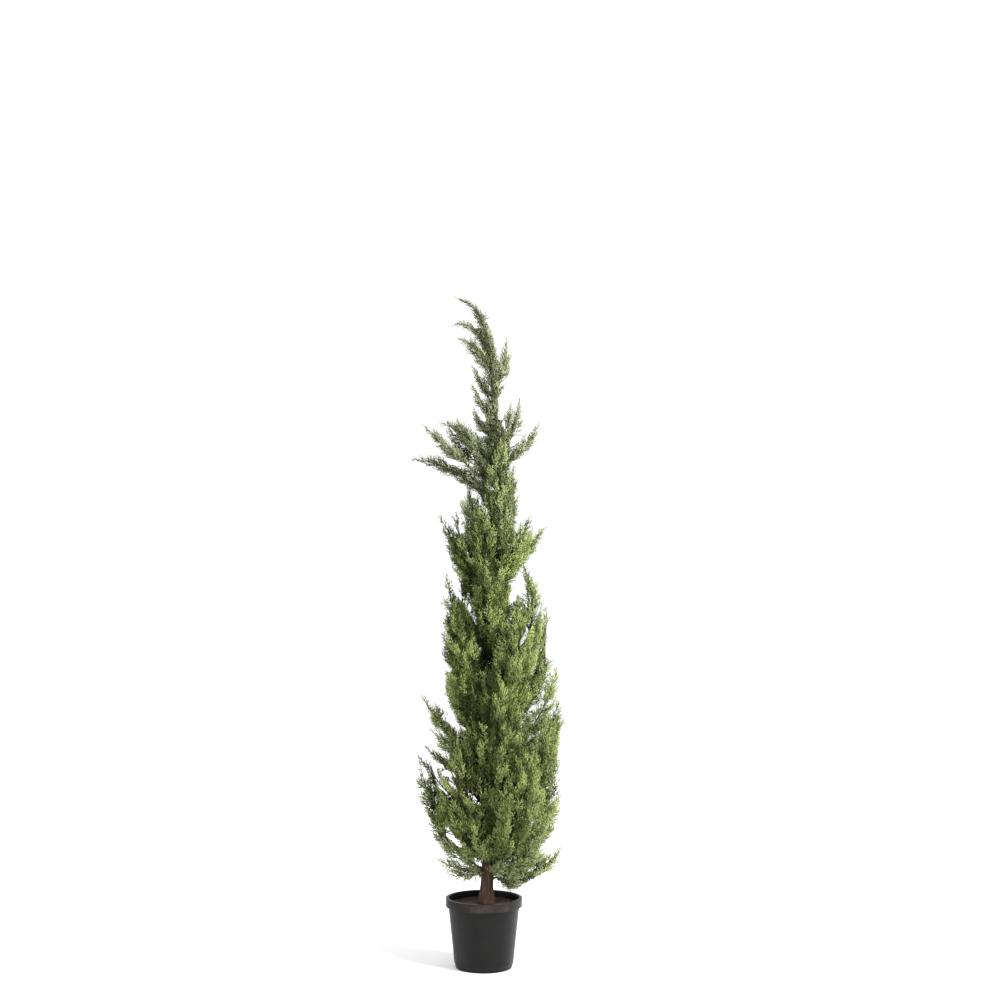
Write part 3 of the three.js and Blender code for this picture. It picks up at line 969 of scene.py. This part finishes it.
def boughlets(plume):
    """Curves from a plume's bough out to points spread evenly over its skin, the outward normals there,
    the share of the sky that each sees, and how long its shoots are."""
    corners = plume.skin_points[plume.skin_faces]
    normals = np.cross(corners[:, 1] - corners[:, 0], corners[:, 2] - corners[:, 0])
    areas = np.linalg.norm(normals, axis=1) / 2
    normals = unit(normals)
    count = max(12, round(areas.sum() / plume.patch))
    # evenly spread picks along the running area, each at a random place on its face
    picks = (np.arange(count) + rng.random(count)) / count * areas.sum()
    faces = np.minimum(np.searchsorted(np.cumsum(areas), picks), len(areas) - 1)
    first, second = np.sqrt(rng.random(count)), rng.random(count)
    weights = np.stack([1 - first, first * (1 - second), first * second], axis=1)
    ends = np.einsum("nk,nkj->nj", weights, corners[faces])
    normal = normals[faces]
    light = open_sky(ends + normal * 5 * MM)
    hollow = np.clip(-clumped(ends), 0, 1)
    # about a quarter of those in full dark live on, and fewer in the hollows between clumps
    alive = rng.random(count) < np.clip(0.24 + 3.6 * light, 0, 1) * (1 - 0.25 * hollow)
    ends, normal, light, hollow = ends[alive], normal[alive], light[alive], hollow[alive]
    count = len(ends)
    # each starts on the bough some way below its end, so that it leaves at a narrow angle
    away = np.linalg.norm(ends[:, None] - plume.points[None], axis=2)
    nearest = plume.lengths[away.argmin(axis=1)]
    off = away.min(axis=1)
    back = off * rng.uniform(0.9, 1.9, count) + 8 * MM
    starts = plume.at(np.maximum(nearest - back, 0.04 * plume.lengths[-1]))
    # its end lies about the skin, from a little proud of it to the length of its own shoots inside
    outward = unit(ends - plume.at(nearest))
    inside = np.minimum(off, plume.shoot) * rng.uniform(-0.3, 0.75, count) + 0.25 * off * hollow
    ends = ends - outward * inside[:, None]
    span = np.linalg.norm(ends - starts, axis=1)
    bends = starts + 0.5 * (ends - starts) + (0.16 * outward - 0.1 * UP) * span[:, None]
    curves = cleared(np.stack([starts, bends, ends], axis=1))
    return curves, unit(normal + outward), light, plume.shoots_at(nearest)


def along_bough(plume):
    """Curves that follow the bough itself from where its leaves begin to its tip."""
    step = 55 * MM
    foot = np.argmin(np.linalg.norm(plume.points - plume.leafy_from, axis=1))
    begins = np.arange(plume.lengths[foot] * 0.9 + 10 * MM, plume.lengths[-1] - 0.3 * step, step)
    halves = [np.minimum(begins + share * step, plume.lengths[-1]) for share in (0, 0.5, 1)]
    controls = np.stack([plume.at(half) for half in halves], axis=1)
    turn = rng.uniform(0, math.tau, len(begins))
    facing = unit(np.stack([np.cos(turn), np.sin(turn), np.full(len(begins), 0.4)], axis=1))
    # where the plume is slim, the bough itself stands in the light
    depth = np.linalg.norm(controls[:, 1, None] - plume.skin_points[None], axis=2).min(axis=1)
    light = open_sky(controls[:, 1] + facing * (plume.girth + 5 * MM))
    light *= np.clip(1.7 - depth / (25 * MM), 0, 1)
    return controls, facing, light, plume.shoots_at(begins)


def stem_shoots(low, high, spacing):
    """Short boughlets that stand on the trunk itself between two heights."""
    heights = np.arange(low, high, spacing)
    count = len(heights)
    turn = np.arange(count) * GOLDEN_ANGLE + rng.normal(0, 0.3, count)
    outward = np.stack([np.cos(turn), np.sin(turn), np.zeros(count)], axis=1)
    reach = np.interp(heights, STEM_HEIGHTS, STEM_REACHES) * rng.uniform(0.7, 1.2, count)
    stem = np.array([stem_at(height) for height in heights])
    starts = stem[:, :3] + outward * stem[:, 3:] * 0.6
    lean = rng.uniform(0.4, 0.75, count)
    ends = starts + reach[:, None] * (np.sin(lean)[:, None] * outward + np.cos(lean)[:, None] * UP)
    bends = starts + 0.5 * (ends - starts) + 0.12 * reach[:, None] * outward
    light = open_sky(ends)
    alive = rng.random(count) < np.clip(0.4 + 3 * light, 0, 1)
    shoot = np.full(alive.sum(), 24 * MM if low > 1.7 else 32 * MM)
    return np.stack([starts, bends, ends], axis=1)[alive], outward[alive], light[alive], shoot


def side_shoots(controls, facing, spacing, from_share, lean, length, lift):
    """Shoots set round each curve by the golden angle, from a share of its length up to its tip.
    Returns their curves, the curve each grows on, and how far along it."""
    span = np.linalg.norm(controls[:, 2] - controls[:, 0], axis=1)
    counts = np.maximum(2, np.round(span * (1 - from_share) / spacing)).astype(int)
    parent = np.repeat(np.arange(len(controls)), counts)
    order = np.arange(len(parent)) - np.repeat(np.cumsum(counts) - counts, counts)
    total = len(parent)
    share = from_share + (1 - from_share) * (order + rng.uniform(0.25, 0.75, total)) / counts[parent]
    last = order == counts[parent] - 1
    share[last] = 0.985
    along = heading(controls[parent], share)
    side, other = across(along)
    turn = order * GOLDEN_ANGLE + rng.uniform(0, math.tau, len(controls))[parent]
    turn += rng.normal(0, 0.35, total)
    angle = lean * rng.uniform(0.75, 1.25, total) * np.where(last, 0.15, 1 - 0.35 * share)
    outward = np.cos(turn)[:, None] * side + np.sin(turn)[:, None] * other
    direction = unit(np.cos(angle)[:, None] * along + np.sin(angle)[:, None] * outward)
    direction = unit(direction + 0.22 * facing[parent] * np.sin(angle)[:, None])
    reach = length[parent] * rng.uniform(0.7, 1.25, total) * (1.1 - 0.45 * share)
    start = bezier(controls[parent], share)
    bend = start + direction * reach[:, None] * 0.5
    rising = unit(direction + lift * UP)
    end = bend + rising * reach[:, None] * 0.5
    return np.stack([start, bend, end], axis=1), parent, share


def leaf_cords(controls, facing, spacing, length, thickness):
    """Points and faces of leaf cords set round each shoot."""
    curves, _, _ = side_shoots(controls, facing, spacing, 0.06, math.radians(40), length, 0.35)
    curves = curves[~(in_gap(curves[:, 0]) | in_gap(curves[:, 2]))]
    start = curves[:, 0]
    reach = curves[:, 2] - start
    size = np.linalg.norm(reach, axis=1)
    along = unit(reach)
    side, other = across(along)
    turns = np.stack([side, other, along], axis=2)
    thick = thickness * rng.uniform(0.8, 1.2, len(size))
    sizes = np.stack([thick, thick, size], axis=1)
    return strewn(CORD_POINTS, CORD_FACES, start, turns, sizes)


def merged(parts):
    """Several (points, faces) sets as one."""
    starts = np.cumsum([0] + [len(points) for points, _ in parts[:-1]])
    points = np.concatenate([points for points, _ in parts])
    faces = np.concatenate([faces + start for (_, faces), start in zip(parts, starts)])
    return points, faces


TINT_DRIFT = 0.12


def leaf_finish(name, colour):
    """Scale leaves: one plain tint that wanders a little from spray to spray, waxy, finely scaled."""
    leaf = Finish(name, roughness=0.6, specular=0.2)
    darker = linear(*(c * (1 - TINT_DRIFT) for c in colour))
    lighter = linear(*(min(255, c * (1 + TINT_DRIFT)) for c in colour))
    leaf.colour(leaf.ramp(leaf.noise(45 * MM, detail=3), (0.35, darker), (0.65, lighter)))
    scales = leaf.noise(1.5 * MM, detail=2)
    leaf.rough(leaf.between(scales, 0.45, 0.7))
    leaf.relief(scales, 0.3 * MM)
    return leaf.material


# Tints of each zone, as sRGB: the open top is greyer, and the middle of the crown is the greenest.
TINTS = {
    "top": [(64, 70, 39), (102, 108, 74), (142, 149, 114)],
    "neck": [(58, 66, 34), (96, 106, 62), (142, 153, 102)],
    "shoulder": [(53, 63, 26), (92, 104, 52), (137, 150, 89)],
    "middle": [(51, 61, 25), (91, 103, 50), (137, 149, 87)],
    "lower": [(54, 63, 25), (91, 102, 51), (134, 145, 86)],
    "skirt": [(56, 64, 31), (94, 103, 60), (136, 146, 95)],
}
TINT_NAMES = ["deep_leaves", "mid_leaves", "fresh_leaves_and_painted_light"]
ZONE_BREAKS = [2.56, 2.02, 1.72, 1.38, 0.95, 0.62, 0.42]  # heights that part the zones, from the top
twig_bark = bark_finish("twig_bark", [(52, 44, 26), (80, 70, 44), (104, 96, 62)], 0.2 * MM)

for zone_number, (zone, plumes) in enumerate(zones.items()):
    rng = np.random.default_rng(ZONE_SEED + zone_number)
    wood = []
    leaves = [[] for _ in TINT_NAMES]
    groves = []
    for plume in plumes:
        mood = MOODS.get(plume.node, 0)
        groves.append((*boughlets(plume), plume.spread, mood, True))
        groves.append((*along_bough(plume), plume.spread, mood, False))
    stem_spacing = 4.5 * MM if zone in ("top", "neck") else 7 * MM
    high, low = ZONE_BREAKS[zone_number : zone_number + 2]
    groves.append((*stem_shoots(low, high, stem_spacing), 0.5, STEM_MOOD, True))
    vigours = [rng.normal(0, VIGOUR, len(limbs)) for limbs, *_ in groves]
    for (limbs, facing, light, shoot, spread, mood, woody), vigour in zip(groves, vigours):
        if not len(limbs):
            continue
        if woody:
            span = np.linalg.norm(limbs[:, 2] - limbs[:, 0], axis=1)
            wood.append(shoots(limbs, 0.7 * MM + 0.009 * span, 4))
        bare_share = LEAFY_SHARE if woody else 0.02
        lean = math.radians(33 + 13 * spread)
        lift = 0.2 + 0.25 * spread
        leafy, parent, share = side_shoots(limbs, facing, SHOOT_SPACING, bare_share, lean, shoot, lift)
        # sprays near the tip of a boughlet are fresher; sprays that see more sky are dealt lighter tints
        # as painted light, and those in the dark deeper tints as painted shade
        # painted light: the side towards the key lamp is dealt lighter tints
        painted_sun_side = limbs[:, 2] @ PAINTED_SUN_SIDE
        fresh_and_painted_light = 0.7 * share + 0.18 + 0.5 * (light[parent] - 0.4) + mood + painted_sun_side[parent]
        # painted shade: sprays in the hollows between clumps are dealt deeper tints, those on the clumps
        # lighter ones
        fresh_and_painted_light += (CLUMP_PAINTED_SHADE * clumped(limbs[:, 2]) + vigour)[parent]
        # fresher sprays, and painted shade in the shadowed hollows, as listed in the accents
        fresh_and_painted_light += accent_and_painted_shade(leafy[:, 1]) + rng.normal(0, 0.06, len(leafy))
        tint = np.digitize(fresh_and_painted_light, TINT_STEPS)
        dim = light[parent] < DIM
        clear = ~in_gap(leafy[:, 2])
        for shade, sprays in enumerate(leaves):
            for inner in (False, True):
                chosen = clear & (tint == shade) & (dim == inner)
                if not chosen.any():
                    continue
                stalks = leafy[chosen]
                sprays.append(shoots(stalks, np.full(len(stalks), STALK_RADIUS), 1))
                # sprays inside the crown hold fewer cords, and coarser ones
                coarse = INNER_COARSE if inner else 1
                length = (CORD_LENGTH + CORD_SHARE * shoot[parent[chosen]]) * (INNER_LONG if inner else 1)
                faced = facing[parent[chosen]]
                cords = leaf_cords(stalks, faced, CORD_SPACING * coarse, length, CORD_THICKNESS * coarse)
                sprays.append(cords)
    nodes = [plume.node for plume in plumes]
    twigs = joined(f"{zone}_twigs", *merged(wood))
    fit(twigs, twig_bark, "bark", *nodes)
    for shade, name in enumerate(TINT_NAMES):
        spray = joined(f"{zone}_{name}", *merged(leaves[shade]))
        fit(spray, leaf_finish(spray.name, TINTS[zone][shade]), "foliage", *nodes)

# ----------------------------------------------------------------------------
# The set: a plain pale floor, soft daylight from the upper right and front, and the camera.
floor_mesh = bmesh.new()
bmesh.ops.create_circle(floor_mesh, cap_ends=True, segments=96, radius=60)
floor = mesh_object("floor", floor_mesh)
pale = Finish("pale_floor", roughness=0.9, specular=0.2)
pale.colour(pale.ramp(pale.noise(2.0), (0, (0.9, 0.9, 0.9, 1)), (1, (0.94, 0.94, 0.94, 1))))
floor.data.materials.append(pale.material)

world = bpy.data.worlds.new("soft_sky")
world.use_nodes = True
sky = world.node_tree.nodes["Background"]
sky.inputs["Color"].default_value = (1, 1, 1, 1)
sky.inputs["Strength"].default_value = 1.1
bpy.context.scene.world = world


def lamp(name, place, aim, size, power):
    """A square soft lamp at a place, turned to its aim."""
    light = bpy.data.lights.new(name, "AREA")
    light.size = size
    light.energy = power
    made = bpy.data.objects.new(name, light)
    made.location = place
    made.rotation_euler = (Vector(aim) - Vector(place)).to_track_quat("-Z", "Y").to_euler()
    bpy.context.scene.collection.objects.link(made)


crown_middle = (0, 0, 1.2)
lamp("key", (4.2, -3.0, 4.4), crown_middle, size=2.0, power=790)
lamp("fill", (-4.0, -3.0, 2.6), crown_middle, size=3.0, power=55)

camera_data = bpy.data.cameras.new("camera")
camera_data.lens = 55.25
camera_data.sensor_width = 36
camera = bpy.data.objects.new("camera", camera_data)
camera.location = FRONT_EYE
camera.rotation_euler = (math.radians(90 + 3.66), 0, 0)
bpy.context.scene.collection.objects.link(camera)
bpy.context.scene.camera = camera
bpy.context.scene.view_settings.view_transform = "Standard"
